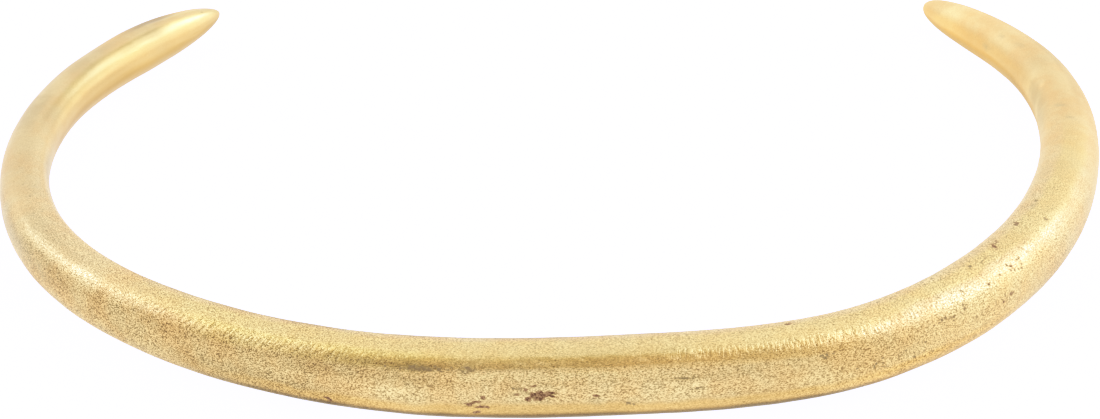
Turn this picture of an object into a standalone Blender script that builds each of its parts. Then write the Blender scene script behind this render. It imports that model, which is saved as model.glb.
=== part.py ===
# Open bracelet of gilded metal: one solid bar, a rounded square in section, bent into a C.
# It is thick across the front and tapers along both arms to blunt tips, where its section is rounder.
# It lies on its underside. The thick front is at -Y and the gap between the tips opens towards +Y.
# Metres, +Z up. The origin is under the middle of the outline, on the surface that it lies on.

import math

import bmesh
import bpy
import numpy as np

# Outside sizes of the whole bracelet
OUTER_WIDTH = 0.0700  # from the left side to the right side
OUTER_DEPTH = 0.0530  # from the front face to the further tip

# Side of the bar's section, before its tips are drawn down
FRONT_SIDE = 0.0044
LEFT_TURN_SIDE = 0.0035
LEFT_ARM_SIDE = 0.0030
LEFT_END_SIDE = 0.00335
RIGHT_TURN_SIDE = 0.00365
RIGHT_END_SIDE = 0.00245

# The tips: the length over which the bar is drawn down, and how blunt its nose is (1 is a cone)
LEFT_TIP_LENGTH = 0.0081
LEFT_TIP_BLUNTNESS = 1.7
RIGHT_TIP_LENGTH = 0.0069
RIGHT_TIP_BLUNTNESS = 2.5
TIP_WEAR = 0.00005  # rubbed off each point, which leaves a tiny flat

# The section is a superellipse: at 2 it is round, and the higher it goes, the squarer it is
FRONT_SQUARENESS = 2.7
TIP_SQUARENESS = 2.1

REST_WEAR = 0.00002  # rubbed off the underside, which leaves a narrow flat to lie on

# Middle line of the bar, from the left tip round the front to the right tip. Each point is a share
# of half the outside width, from the middle, and a share of the outside depth, from the front.
MIDDLE_LINE = (
    (-0.640, 0.960),
    (-0.765, 0.875),
    (-0.885, 0.760),
    (-0.950, 0.495),
    (-0.865, 0.320),
    (-0.275, 0.055),
    (0.140, 0.050),
    (0.470, 0.095),
    (0.790, 0.285),
    (0.935, 0.545),
    (0.895, 0.820),
    (0.720, 0.995),
)

# Where along the bar, as a share of its length, each side is reached
BAR_SIDES = (
    (0.00, LEFT_END_SIDE),
    (0.13, LEFT_ARM_SIDE),
    (0.24, LEFT_TURN_SIDE),
    (0.46, FRONT_SIDE),
    (0.67, FRONT_SIDE),
    (0.86, RIGHT_TURN_SIDE),
    (1.00, RIGHT_END_SIDE),
)

# Fineness of the mesh
RINGS = 110
RING_POINTS = 28
LINE_STEPS = 2000  # short steps in which the middle line is measured
SHARP_ANGLE = math.radians(40.0)

# Pale matt gold, in linear colour
GILDING_COLOUR = (0.75, 0.55, 0.25, 1.0)
GILDING_ROUGHNESS = 0.42


def clear_scene():
    for item in list(bpy.data.objects):
        bpy.data.objects.remove(item, do_unlink=True)


def spline_through(places, values, at):
    """Natural cubic spline through the values at the places, read wherever at says."""
    gaps = np.diff(places)
    slopes = np.diff(values) / gaps
    count = len(places)
    system = np.eye(count)
    turns = np.zeros(count)
    for i in range(1, count - 1):
        system[i, i - 1 : i + 2] = (gaps[i - 1], 2.0 * (gaps[i - 1] + gaps[i]), gaps[i])
        turns[i] = 6.0 * (slopes[i] - slopes[i - 1])
    bends = np.linalg.solve(system, turns)

    piece = np.clip(np.searchsorted(places, at) - 1, 0, count - 2)
    gap = gaps[piece]
    past = at - places[piece]
    ahead = gap - past
    start_pull = values[piece] / gap - bends[piece] * gap / 6.0
    end_pull = values[piece + 1] / gap - bends[piece + 1] * gap / 6.0
    cubic = (bends[piece] * ahead**3 + bends[piece + 1] * past**3) / (6.0 * gap)
    return cubic + start_pull * ahead + end_pull * past


def measured(x, y):
    """Distance walked along a line, and its heading, at each of its points."""
    walked = np.concatenate(([0.0], np.cumsum(np.hypot(np.diff(x), np.diff(y)))))
    heading = np.unwrap(np.arctan2(np.gradient(y, walked), np.gradient(x, walked)))
    return walked, heading


def full_side(share):
    """Side of the bar, its tips not yet drawn down, at a share of its length."""
    return spline_through(*np.array(BAR_SIDES).T, share)


def drawn_down(from_tip, length, bluntness):
    """Share of the full side that is left at a distance from the tip."""
    share = np.clip(from_tip / length, 0.0, 1.0)
    return (1.0 - (1.0 - share) ** bluntness) ** (1.0 / bluntness)


def finished_side(along, length):
    left = drawn_down(along, LEFT_TIP_LENGTH, LEFT_TIP_BLUNTNESS)
    right = drawn_down(length - along, RIGHT_TIP_LENGTH, RIGHT_TIP_BLUNTNESS)
    return full_side(along / length) * left * right


def stretched(line, edges, size):
    """The line stretched about the origin, so that the edges beside it span the whole size."""
    low_margin = line.min() - edges.min()
    high_margin = edges.max() - line.max()
    share = (line - line.min()) / (line.max() - line.min())
    return low_margin - size / 2.0 + share * (size - low_margin - high_margin)


def middle_line():
    """Finely stepped middle line of the bar: x, y, the distance walked, and the heading."""
    chosen = np.array(MIDDLE_LINE) * (OUTER_WIDTH / 2.0, OUTER_DEPTH)
    chords = np.linalg.norm(np.diff(chosen, axis=0), axis=1)
    places = np.concatenate(([0.0], np.cumsum(chords)))
    steps = np.linspace(0.0, places[-1], LINE_STEPS)
    x = spline_through(places, chosen[:, 0], steps)
    y = spline_through(places, chosen[:, 1], steps)

    # Walking from left to right round the front, the outside of the bracelet is on the right hand
    walked, heading = measured(x, y)
    half_side = finished_side(walked, walked[-1]) / 2.0
    across_x = half_side * np.sin(heading)
    across_y = half_side * np.cos(heading)
    x = stretched(x, np.concatenate((x + across_x, x - across_x)), OUTER_WIDTH)
    y = stretched(y, np.concatenate((y + across_y, y - across_y)), OUTER_DEPTH)
    return x, y, *measured(x, y)


def section(side, squareness):
    """Points round the bar's section: how far across, and how far up from its middle."""
    angles = 2.0 * np.pi * (np.arange(RING_POINTS) + 0.5) / RING_POINTS
    power = 2.0 / squareness
    across = np.sign(np.cos(angles)) * np.abs(np.cos(angles)) ** power
    up = np.sign(np.sin(angles)) * np.abs(np.sin(angles)) ** power
    return across * side / 2.0, up * side / 2.0


def bar_rings():
    """The rings of points that the bar's skin is stretched over, closest together at the tips."""
    x, y, walked, heading = middle_line()
    length = walked[-1]
    spread = (1.0 - np.cos(np.linspace(0.0, np.pi, RINGS))) / 2.0
    along = TIP_WEAR + spread * (length - 2.0 * TIP_WEAR)
    side = finished_side(along, length)
    middle_height = full_side(along / length) / 2.0
    from_front = np.abs(2.0 * along / length - 1.0)
    squareness = FRONT_SQUARENESS + (TIP_SQUARENESS - FRONT_SQUARENESS) * from_front**2
    centre_x = np.interp(along, walked, x)
    centre_y = np.interp(along, walked, y)
    turned = np.interp(along, walked, heading)

    rings = []
    for i in range(RINGS):
        outwards, up = section(side[i], squareness[i])
        ring_x = centre_x[i] + outwards * np.sin(turned[i])
        ring_y = centre_y[i] - outwards * np.cos(turned[i])
        # The tips are drawn down about the bar's own middle, so their underside rises clear
        height = np.maximum(middle_height[i] + up, REST_WEAR) - REST_WEAR
        rings.append(np.column_stack((ring_x, ring_y, height)))
    return rings


def bar_mesh(name):
    """A loft through the rings, because the section goes from nearly square to nearly round."""
    bm = bmesh.new()
    loops = [[bm.verts.new(point) for point in ring] for ring in bar_rings()]
    for near, far in zip(loops, loops[1:]):
        for k in range(RING_POINTS):
            bm.faces.new((near[k - 1], near[k], far[k], far[k - 1]))
    bm.faces.new(loops[0])
    bm.faces.new(reversed(loops[-1]))
    bmesh.ops.recalc_face_normals(bm, faces=bm.faces)
    mesh = bpy.data.meshes.new(name)
    bm.to_mesh(mesh)
    bm.free()
    mesh.shade_smooth()
    mesh.set_sharp_from_angle(angle=SHARP_ANGLE)
    return mesh


def gilding():
    material = bpy.data.materials.new("gilding")
    material.use_nodes = True
    shader = material.node_tree.nodes["Principled BSDF"]
    shader.inputs["Base Color"].default_value = GILDING_COLOUR
    shader.inputs["Metallic"].default_value = 1.0
    shader.inputs["Roughness"].default_value = GILDING_ROUGHNESS
    return material


def main():
    clear_scene()
    parts = bpy.data.collections.new("open bracelet")
    bpy.context.scene.collection.children.link(parts)
    bracelet = bpy.data.objects.new("bracelet", bar_mesh("bracelet"))
    bracelet.data.materials.append(gilding())
    parts.objects.link(bracelet)


main()
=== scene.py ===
# Looks of an open gilded bangle: a fine skin over the bar, worn granular gilding and a pale studio.
# Metres, +Z up. The thick front is at -Y, and the gap between the tips opens towards +Y.

import math

import bpy
import numpy as np
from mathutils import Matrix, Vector


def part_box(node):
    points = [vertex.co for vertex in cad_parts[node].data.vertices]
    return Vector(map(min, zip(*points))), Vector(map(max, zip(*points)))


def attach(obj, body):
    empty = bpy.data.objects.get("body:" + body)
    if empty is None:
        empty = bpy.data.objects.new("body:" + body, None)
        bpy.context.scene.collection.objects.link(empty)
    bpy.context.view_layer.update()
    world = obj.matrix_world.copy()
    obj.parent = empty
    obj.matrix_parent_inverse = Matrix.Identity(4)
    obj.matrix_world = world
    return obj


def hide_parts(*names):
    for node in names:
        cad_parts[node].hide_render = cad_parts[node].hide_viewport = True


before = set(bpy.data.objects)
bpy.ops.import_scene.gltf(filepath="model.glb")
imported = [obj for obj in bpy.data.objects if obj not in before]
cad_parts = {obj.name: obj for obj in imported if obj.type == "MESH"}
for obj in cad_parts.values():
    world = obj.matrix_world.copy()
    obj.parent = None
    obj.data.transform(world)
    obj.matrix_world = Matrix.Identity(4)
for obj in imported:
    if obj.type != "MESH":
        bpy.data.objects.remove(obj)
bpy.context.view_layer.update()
mm = 0.001

# The bar, with the sizes that the solid is built from
bar = {
    "middleLine": (  # shares of half the width and of the depth, from the left tip round the front
        (-0.640, 0.960), (-0.765, 0.875), (-0.885, 0.760), (-0.950, 0.495), (-0.865, 0.320), (-0.275, 0.055),
        (0.140, 0.050), (0.470, 0.095), (0.790, 0.285), (0.935, 0.545), (0.895, 0.820), (0.720, 0.995),
    ),
    "sides": (  # share of the length, side of the section
        (0.00, 3.35 * mm), (0.13, 3.00 * mm), (0.24, 3.50 * mm), (0.46, 4.40 * mm),
        (0.67, 4.40 * mm), (0.86, 3.65 * mm), (1.00, 2.45 * mm),
    ),
    "leftTipLength": 8.1 * mm,
    "leftTipBluntness": 1.8,  # 1.7 in the solid; the skin is cut inwards, so its nose starts fuller
    "rightTipLength": 6.9 * mm,
    "rightTipBluntness": 2.5,
    "tipWear": 0.02 * mm,
    "frontSquareness": 2.7,
    "tipSquareness": 2.1,
    "restWear": 0.02 * mm,
    "lineSteps": 2000,
}

# The skin's fineness and its hammered, granular relief, all cut inwards from the bar's own surface
skin = {
    "ringPoints": 90,
    "ringSpacing": (  # share of the length, distance between rings
        (0.00, 0.34 * mm), (0.16, 0.30 * mm), (0.24, 0.17 * mm), (0.30, 0.125 * mm), (0.355, 0.087 * mm),
        (0.690, 0.087 * mm), (0.720, 0.115 * mm), (0.760, 0.140 * mm), (0.820, 0.26 * mm), (1.00, 0.30 * mm),
    ),
    "noseSpacing": 0.012 * mm,  # between the first rings at each tip
    "noseGrowth": 0.30,  # how much wider the spacing gets with the distance from the tip
    "firstTurn": math.radians(240.0),  # the seam runs along the lower inner corner
    "denseTurn": math.radians(30.0),  # where a ring's points are closest together
    "crowding": 0.45,  # how much closer, from 0 to 1
    "placeSteps": 20000,  # how finely the bar is walked to place the rings
    "inset": 0.012 * mm,
    "facetSize": 6.0 * mm,
    "facetDepth": 0.080 * mm,
    "facetNoise": (1.0, 0.5),  # detail and roughness
    "dentSize": 1.7 * mm,
    "dentDepth": 0.024 * mm,
    "dentNoise": (0.0, 0.5),
    "granuleSize": (0.46 * mm, 0.34 * mm, 0.34 * mm),  # along the bar and across it
    "granuleDepth": 0.010 * mm,
    "granuleNoise": (1.0, 0.6),
    "noiseFloor": 0.25,  # noise seldom falls below it, and what rises above it sets the depth
    "pinholeDensity": 0.16e6,  # for each square metre
    "pinholeGap": 0.45 * mm,
    "pinholeRadius": 0.13 * mm,
    "pinholeDepth": 0.030 * mm,
    "seed": 7,
}

# Close slanted strokes across the ridge, left by the maker's tool at both ends of the front
strokes = {
    "stretches": (  # share of the length, how strong they are
        (0.265, 0.0), (0.300, 0.5), (0.345, 0.8), (0.375, 1.0), (0.410, 0.8), (0.435, 0.3), (0.460, 0.1),
        (0.520, 0.05), (0.540, 0.25), (0.556, 0.60), (0.574, 0.60), (0.582, 0.35), (0.594, 0.68),
        (0.620, 0.85), (0.650, 0.75), (0.680, 0.40), (0.720, 0.0),
    ),
    "lean": (math.radians(22.0), math.radians(8.0)),  # left and right of the front's middle
    "middle": (math.radians(51.0), math.radians(58.0)),  # 0 faces outwards and 90 degrees up
    "reach": (math.radians(19.0), math.radians(15.0)),  # to either side of the middle
    "fade": math.radians(9.0),
    "size": (0.13 * mm, 0.60 * mm, 1.0 * mm),  # from stroke to stroke, a stroke's length, and one not in use
    "depth": 0.027 * mm,
    "noise": (1.0, 0.5, 0.7),  # detail, roughness and distortion
    "crest": (0.36, 0.62),  # between these values of the noise a crest rises
}
arcShare = 0.54  # length of the section's outline for each radian, as a share of its side


# Small helpers for node trees

def addNode(tree, kind, **settings):
    node = tree.nodes.new(kind)
    for name, value in settings.items():
        setattr(node, name, value)
    return node


def feed(tree, socket, value):
    if isinstance(value, bpy.types.NodeSocket):
        tree.links.new(value, socket)
    else:
        socket.default_value = value


def calc(tree, operation, *values):
    node = addNode(tree, "ShaderNodeMath", operation=operation)
    for socket, value in zip(node.inputs, values):
        feed(tree, socket, value)
    return node.outputs[0]


def product(tree, first, *others):
    for other in others:
        first = calc(tree, "MULTIPLY", first, other)
    return first


def total(tree, first, *others):
    for other in others:
        first = calc(tree, "ADD", first, other)
    return first


def held(tree, value, low, high):
    return calc(tree, "MINIMUM", calc(tree, "MAXIMUM", value, low), high)


def calcVector(tree, operation, *values):
    node = addNode(tree, "ShaderNodeVectorMath", operation=operation)
    for socket, value in zip(node.inputs, values):
        feed(tree, socket, value)
    return node.outputs["Value" if operation == "DOT_PRODUCT" else "Vector"]


def scaled(tree, vector, amount):
    node = addNode(tree, "ShaderNodeVectorMath", operation="SCALE")
    feed(tree, node.inputs[0], vector)
    feed(tree, node.inputs["Scale"], amount)
    return node.outputs["Vector"]


def parted(tree, vector):
    node = addNode(tree, "ShaderNodeSeparateXYZ")
    feed(tree, node.inputs[0], vector)
    return node.outputs


def joined(tree, *values):
    node = addNode(tree, "ShaderNodeCombineXYZ")
    for socket, value in zip(node.inputs, values):
        feed(tree, socket, value)
    return node.outputs[0]


def fromTo(tree, value, low, high, newLow=0.0, newHigh=1.0):  # eased, and held at both ends
    node = addNode(tree, "ShaderNodeMapRange", interpolation_type="SMOOTHSTEP", clamp=True)
    for socket, number in zip(node.inputs, (value, low, high, newLow, newHigh)):
        feed(tree, socket, number)
    return node.outputs[0]


def noise(tree, place, size, detail=1.0, roughness=0.5, distortion=0.0):  # size: one, or one each way
    node = addNode(tree, "ShaderNodeTexNoise")
    sizes = (size,) * 3 if isinstance(size, float) else size
    feed(tree, node.inputs["Vector"], calcVector(tree, "DIVIDE", place, sizes))
    feed(tree, node.inputs["Scale"], 1.0)
    feed(tree, node.inputs["Detail"], detail)
    feed(tree, node.inputs["Roughness"], roughness)
    feed(tree, node.inputs["Distortion"], distortion)
    return node.outputs["Fac"]


# The middle line of the bar

def naturalSpline(places, values, at):
    gaps = np.diff(places)
    slopes = np.diff(values) / gaps
    count = len(places)
    system = np.eye(count)
    turns = np.zeros(count)
    for i in range(1, count - 1):
        system[i, i - 1 : i + 2] = (gaps[i - 1], 2.0 * (gaps[i - 1] + gaps[i]), gaps[i])
        turns[i] = 6.0 * (slopes[i] - slopes[i - 1])
    bends = np.linalg.solve(system, turns)
    piece = np.clip(np.searchsorted(places, at) - 1, 0, count - 2)
    gap = gaps[piece]
    past = at - places[piece]
    ahead = gap - past
    startPull = values[piece] / gap - bends[piece] * gap / 6.0
    endPull = values[piece + 1] / gap - bends[piece + 1] * gap / 6.0
    cubic = (bends[piece] * ahead**3 + bends[piece + 1] * past**3) / (6.0 * gap)
    return cubic + startPull * ahead + endPull * past


def walkAlong(x, y):  # distance walked and heading at each point
    walked = np.concatenate(([0.0], np.cumsum(np.hypot(np.diff(x), np.diff(y)))))
    heading = np.unwrap(np.arctan2(np.gradient(y, walked), np.gradient(x, walked)))
    return walked, heading


def fullSide(share):
    return naturalSpline(*np.array(bar["sides"]).T, share)


def drawnDown(fromTip, length, bluntness):  # what is left of the side near a tip
    share = np.clip(fromTip / length, 0.0, 1.0)
    return (1.0 - (1.0 - share) ** bluntness) ** (1.0 / bluntness)


def finishedSide(along, length):
    left = drawnDown(along, bar["leftTipLength"], bar["leftTipBluntness"])
    right = drawnDown(length - along, bar["rightTipLength"], bar["rightTipBluntness"])
    return fullSide(along / length) * left * right


def stretchedBetween(line, edges, low, high):  # so that the bar's edges reach from low to high
    lowMargin = line.min() - edges.min()
    highMargin = edges.max() - line.max()
    share = (line - line.min()) / (line.max() - line.min())
    return low + lowMargin + share * (high - highMargin - low - lowMargin)


def middleLine(low, high):
    chosen = np.array(bar["middleLine"]) * ((high.x - low.x) / 2.0, high.y - low.y)
    chords = np.linalg.norm(np.diff(chosen, axis=0), axis=1)
    places = np.concatenate(([0.0], np.cumsum(chords)))
    steps = np.linspace(0.0, places[-1], bar["lineSteps"])
    x = naturalSpline(places, chosen[:, 0], steps)
    y = naturalSpline(places, chosen[:, 1], steps)
    walked, heading = walkAlong(x, y)
    halfSide = finishedSide(walked, walked[-1]) / 2.0
    acrossX = halfSide * np.sin(heading)
    acrossY = halfSide * np.cos(heading)
    x = stretchedBetween(x, np.concatenate((x + acrossX, x - acrossX)), low.x, high.x)
    y = stretchedBetween(y, np.concatenate((y + acrossY, y - acrossY)), low.y, high.y)
    return x, y, *walkAlong(x, y)


def readTable(table, at):
    return np.interp(at, *np.array(table).T)


def ringPlaces(length):  # close together where the marks are fine, and closest at the tips
    fine = np.linspace(bar["tipWear"], length - bar["tipWear"], skin["placeSteps"])
    fromTip = np.minimum(fine, length - fine)
    spacing = readTable(skin["ringSpacing"], fine / length)
    spacing = np.minimum(spacing, skin["noseSpacing"] + skin["noseGrowth"] * fromTip)
    counted = np.concatenate(([0.0], np.cumsum(np.diff(fine) * 2.0 / (spacing[1:] + spacing[:-1]))))
    return np.interp(np.linspace(0.0, counted[-1], int(counted[-1])), counted, fine)


def addAttribute(mesh, name, values):
    kind, field = ("FLOAT", "value") if values.ndim == 1 else ("FLOAT_VECTOR", "vector")
    mesh.attributes.new(name, kind, "POINT").data.foreach_set(field, values.astype(np.float32).ravel())


def readAttribute(mesh, name):
    layer = mesh.attributes[name]
    width, field = (1, "value") if layer.data_type == "FLOAT" else (3, "vector")
    values = np.empty(len(mesh.vertices) * width, np.float32)
    layer.data.foreach_get(field, values)
    return values.astype(float) if width == 1 else values.reshape(-1, 3).astype(float)


# How granular the surface is along the bar: 0 is smooth, 1 the middling grain of the front
granularStretch = (
    (0.00, 0.05), (0.13, 0.08), (0.17, 0.18), (0.21, 0.30), (0.25, 0.72), (0.30, 1.45), (0.36, 1.75),
    (0.42, 1.15), (0.47, 0.76), (0.60, 0.78), (0.65, 1.20), (0.70, 0.98), (0.75, 0.68), (0.80, 0.20),
    (0.86, 0.07), (1.00, 0.06),
)

# How long the grain is along the bar, in mm, by the share of its length
grainLength = (
    (0.00, 0.12), (0.26, 0.09), (0.40, 0.09), (0.45, 0.11), (0.55, 0.12), (0.60, 0.10), (0.70, 0.09),
    (1.00, 0.12),
)


def guideLine(low, high):  # one point for each ring, with what the ring's shape needs
    x, y, walked, heading = middleLine(low, high)
    length = walked[-1]
    along = ringPlaces(length)
    share = along / length
    turned = np.interp(along, walked, heading)
    level = (np.interp(along, walked, x), np.interp(along, walked, y))
    middle = np.column_stack((*level, fullSide(share) / 2.0))
    fromFront = np.abs(2.0 * share - 1.0)
    squareness = bar["frontSquareness"] + (bar["tipSquareness"] - bar["frontSquareness"]) * fromFront**2
    mesh = bpy.data.meshes.new("barGuide")
    mesh.from_pydata(middle.tolist(), [(i, i + 1) for i in range(len(along) - 1)], [])
    addAttribute(mesh, "middle", middle)
    addAttribute(mesh, "outwards", np.column_stack((np.sin(turned), -np.cos(turned), np.zeros(len(along)))))
    addAttribute(mesh, "along", along)
    addAttribute(mesh, "side", finishedSide(along, length))
    addAttribute(mesh, "squareness", squareness)
    addAttribute(mesh, "granular", readTable(granularStretch, share))
    addAttribute(mesh, "stroked", readTable(strokes["stretches"], share))
    addAttribute(mesh, "lean", np.where(share < 0.5, *strokes["lean"]))
    addAttribute(mesh, "strokeMiddle", np.where(share < 0.5, *strokes["middle"]))
    addAttribute(mesh, "strokeReach", np.where(share < 0.5, *strokes["reach"]))
    grainLengths = np.diff(along, prepend=along[0]) / (readTable(grainLength, share) * mm)
    addAttribute(mesh, "grainAlong", np.cumsum(grainLengths))
    guide = bpy.data.objects.new("barGuide", mesh)
    bpy.context.scene.collection.objects.link(guide)
    return guide, length


# Geometry Nodes tree: rings round the guide line, then the relief

def named(tree, name, kind="FLOAT"):
    node = addNode(tree, "GeometryNodeInputNamedAttribute", data_type=kind)
    node.inputs["Name"].default_value = name
    return node.outputs["Attribute"]


def store(tree, geometry, name, value, kind="FLOAT"):
    node = addNode(tree, "GeometryNodeStoreNamedAttribute", data_type=kind, domain="POINT")
    feed(tree, node.inputs["Geometry"], geometry)
    node.inputs["Name"].default_value = name
    feed(tree, next(socket for socket in node.inputs if socket.name == "Value" and socket.enabled), value)
    return node.outputs["Geometry"]


def pushedIn(tree, geometry, depth):
    normal = addNode(tree, "GeometryNodeInputNormal").outputs["Normal"]
    node = addNode(tree, "GeometryNodeSetPosition")
    feed(tree, node.inputs["Geometry"], geometry)
    feed(tree, node.inputs["Offset"], scaled(tree, normal, calc(tree, "MULTIPLY", depth, -1.0)))
    return node.outputs["Geometry"]


def hollows(tree, at, size, depth, fineness):
    share = calc(tree, "SUBTRACT", noise(tree, at, size, *fineness), skin["noiseFloor"])
    return calc(tree, "MULTIPLY", calc(tree, "MAXIMUM", share, 0.0), depth)


def ringCurve(tree, given):  # a ring whose points know how far round they are
    circle = addNode(tree, "GeometryNodeCurvePrimitiveCircle", mode="RADIUS")
    feed(tree, circle.inputs["Resolution"], given["Ring Points"])
    circle.inputs["Radius"].default_value = mm  # any will do: shapedBar places each point
    index = addNode(tree, "GeometryNodeInputIndex").outputs["Index"]
    step = calc(tree, "DIVIDE", 2.0 * math.pi, given["Ring Points"])
    evenTurn = calc(tree, "SUBTRACT", given["First Turn"], product(tree, index, step))
    fromDense = calc(tree, "SUBTRACT", evenTurn, given["Dense Turn"])
    crowded = product(tree, calc(tree, "SINE", fromDense), given["Crowding"])
    return store(tree, circle.outputs["Curve"], "turn", calc(tree, "SUBTRACT", evenTurn, crowded))


def shapedBar(tree, given):  # each ring a superellipse, with a narrow flat rubbed on its underside
    line = addNode(tree, "GeometryNodeMeshToCurve")
    feed(tree, line.inputs["Mesh"], given["Guide"])
    loft = addNode(tree, "GeometryNodeCurveToMesh")
    feed(tree, loft.inputs["Curve"], line.outputs["Curve"])
    feed(tree, loft.inputs["Profile Curve"], ringCurve(tree, given))
    loft.inputs["Fill Caps"].default_value = True

    turn = named(tree, "turn")
    squareness = named(tree, "squareness")
    outFacing = calc(tree, "COSINE", turn)
    upFacing = calc(tree, "SINE", turn)
    outPower = calc(tree, "POWER", calc(tree, "ABSOLUTE", outFacing), squareness)
    upPower = calc(tree, "POWER", calc(tree, "ABSOLUTE", upFacing), squareness)
    reach = calc(tree, "POWER", total(tree, outPower, upPower), calc(tree, "DIVIDE", -1.0, squareness))
    reach = product(tree, reach, named(tree, "side"), 0.5)
    across = scaled(tree, named(tree, "outwards", "FLOAT_VECTOR"), product(tree, reach, outFacing))
    place = parted(tree, calcVector(tree, "ADD", named(tree, "middle", "FLOAT_VECTOR"), across))
    height = total(tree, place["Z"], product(tree, reach, upFacing))
    height = calc(tree, "SUBTRACT", calc(tree, "MAXIMUM", height, given["Rest Wear"]), given["Rest Wear"])
    shaped = addNode(tree, "GeometryNodeSetPosition")
    feed(tree, shaped.inputs["Geometry"], loft.outputs["Mesh"])
    feed(tree, shaped.inputs["Position"], joined(tree, place["X"], place["Y"], height))

    # The same place on a bar pulled straight, so that grain can run along it
    outAndUp = (product(tree, reach, outFacing), product(tree, reach, upFacing))
    straight = joined(tree, named(tree, "along"), *outAndUp)
    bare = store(tree, shaped.outputs["Geometry"], "straight", straight, "FLOAT_VECTOR")
    bare = store(tree, bare, "outFacing", outFacing)
    return store(tree, bare, "upFacing", upFacing)


def strokePlace(tree):  # across the strokes, and lengthways
    arc = calc(tree, "SUBTRACT", named(tree, "turn"), named(tree, "strokeMiddle"))
    arc = product(tree, arc, named(tree, "side"), arcShare)
    along = named(tree, "along")
    sideways = calc(tree, "COSINE", named(tree, "lean"))
    leaning = calc(tree, "SINE", named(tree, "lean"))
    across = calc(tree, "SUBTRACT", product(tree, along, sideways), product(tree, arc, leaning))
    return joined(tree, across, total(tree, product(tree, along, leaning), product(tree, arc, sideways)), 0.0)


def strokeCrest(tree, place, size):
    return fromTo(tree, noise(tree, place, size, *strokes["noise"]), *strokes["crest"])


def barTree():
    tree = bpy.data.node_groups.new("bangleBar", "GeometryNodeTree")
    tree.interface.new_socket("Guide", in_out="INPUT", socket_type="NodeSocketGeometry")
    numbers = (
        "First Turn", "Dense Turn", "Crowding", "Rest Wear", "Inset", "Facet Size", "Facet Depth",
        "Dent Size", "Dent Depth", "Granule Depth", "Stroke Fade", "Stroke Depth", "Pinhole Density",
        "Pinhole Gap", "Pinhole Radius", "Pinhole Depth",
    )
    kinds = {"Ring Points": "NodeSocketInt", "Seed": "NodeSocketInt", "Granule Size": "NodeSocketVector"}
    kinds.update({"Stroke Size": "NodeSocketVector", "Gilding": "NodeSocketMaterial"})
    kinds.update({name: "NodeSocketFloat" for name in numbers})
    for name, kind in kinds.items():
        tree.interface.new_socket(name, in_out="INPUT", socket_type=kind)
    tree.interface.new_socket("Bar", in_out="OUTPUT", socket_type="NodeSocketGeometry")
    given = addNode(tree, "NodeGroupInput").outputs
    bare = shapedBar(tree, given)

    # Strokes across the ridge
    bare = store(tree, bare, "strokeAt", strokePlace(tree), "FLOAT_VECTOR")
    away = calc(tree, "ABSOLUTE", calc(tree, "SUBTRACT", named(tree, "turn"), named(tree, "strokeMiddle")))
    inside = calc(tree, "SUBTRACT", named(tree, "strokeReach"), away)
    onRidge = fromTo(tree, inside, 0.0, given["Stroke Fade"])
    bare = store(tree, bare, "stroked", product(tree, onRidge, named(tree, "stroked")))
    crest = strokeCrest(tree, named(tree, "strokeAt", "FLOAT_VECTOR"), given["Stroke Size"])
    furrows = product(tree, calc(tree, "SUBTRACT", 1.0, crest), named(tree, "stroked"), given["Stroke Depth"])

    # Hammered facets and dents all over, granules where the surface is granular
    at = addNode(tree, "GeometryNodeInputPosition").outputs["Position"]
    straight = named(tree, "straight", "FLOAT_VECTOR")
    facetSize = joined(tree, *(given["Facet Size"],) * 3)
    facets = hollows(tree, at, facetSize, given["Facet Depth"], skin["facetNoise"])
    dentSize = joined(tree, *(given["Dent Size"],) * 3)
    dents = hollows(tree, at, dentSize, given["Dent Depth"], skin["dentNoise"])
    granules = hollows(tree, straight, given["Granule Size"], given["Granule Depth"], skin["granuleNoise"])
    granules = product(tree, granules, named(tree, "granular"))
    relief = pushedIn(tree, bare, total(tree, facets, dents, granules, furrows, given["Inset"]))

    # Scattered pinholes, densest where the casting is granular
    scatter = addNode(tree, "GeometryNodeDistributePointsOnFaces", distribute_method="POISSON")
    feed(tree, scatter.inputs["Mesh"], relief)
    feed(tree, scatter.inputs["Distance Min"], given["Pinhole Gap"])
    feed(tree, scatter.inputs["Density Max"], given["Pinhole Density"])
    feed(tree, scatter.inputs["Density Factor"], named(tree, "granular"))
    feed(tree, scatter.inputs["Seed"], given["Seed"])
    nearest = addNode(tree, "GeometryNodeProximity", target_element="POINTS")
    feed(tree, nearest.inputs["Geometry"], scatter.outputs["Points"])
    shares = calc(tree, "DIVIDE", nearest.outputs["Distance"], given["Pinhole Radius"])
    pricked = store(tree, relief, "pinhole", fromTo(tree, shares, 0.0, 1.0, 1.0, 0.0))
    pricked = pushedIn(tree, pricked, product(tree, named(tree, "pinhole"), given["Pinhole Depth"]))

    smooth = addNode(tree, "GeometryNodeSetShadeSmooth")
    feed(tree, smooth.inputs["Geometry"], pricked)
    real = addNode(tree, "GeometryNodeRealizeInstances")
    feed(tree, real.inputs["Geometry"], smooth.outputs["Geometry"])
    gilded = addNode(tree, "GeometryNodeSetMaterial")
    feed(tree, gilded.inputs["Geometry"], real.outputs["Geometry"])
    feed(tree, gilded.inputs["Material"], given["Gilding"])
    feed(tree, addNode(tree, "NodeGroupOutput").inputs["Bar"], gilded.outputs["Geometry"])
    return tree


def setInputs(modifier, values):
    for item in modifier.node_group.interface.items_tree:
        if item.item_type == "SOCKET" and item.in_out == "INPUT" and item.name in values:
            modifier[item.identifier] = values[item.name]


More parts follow.
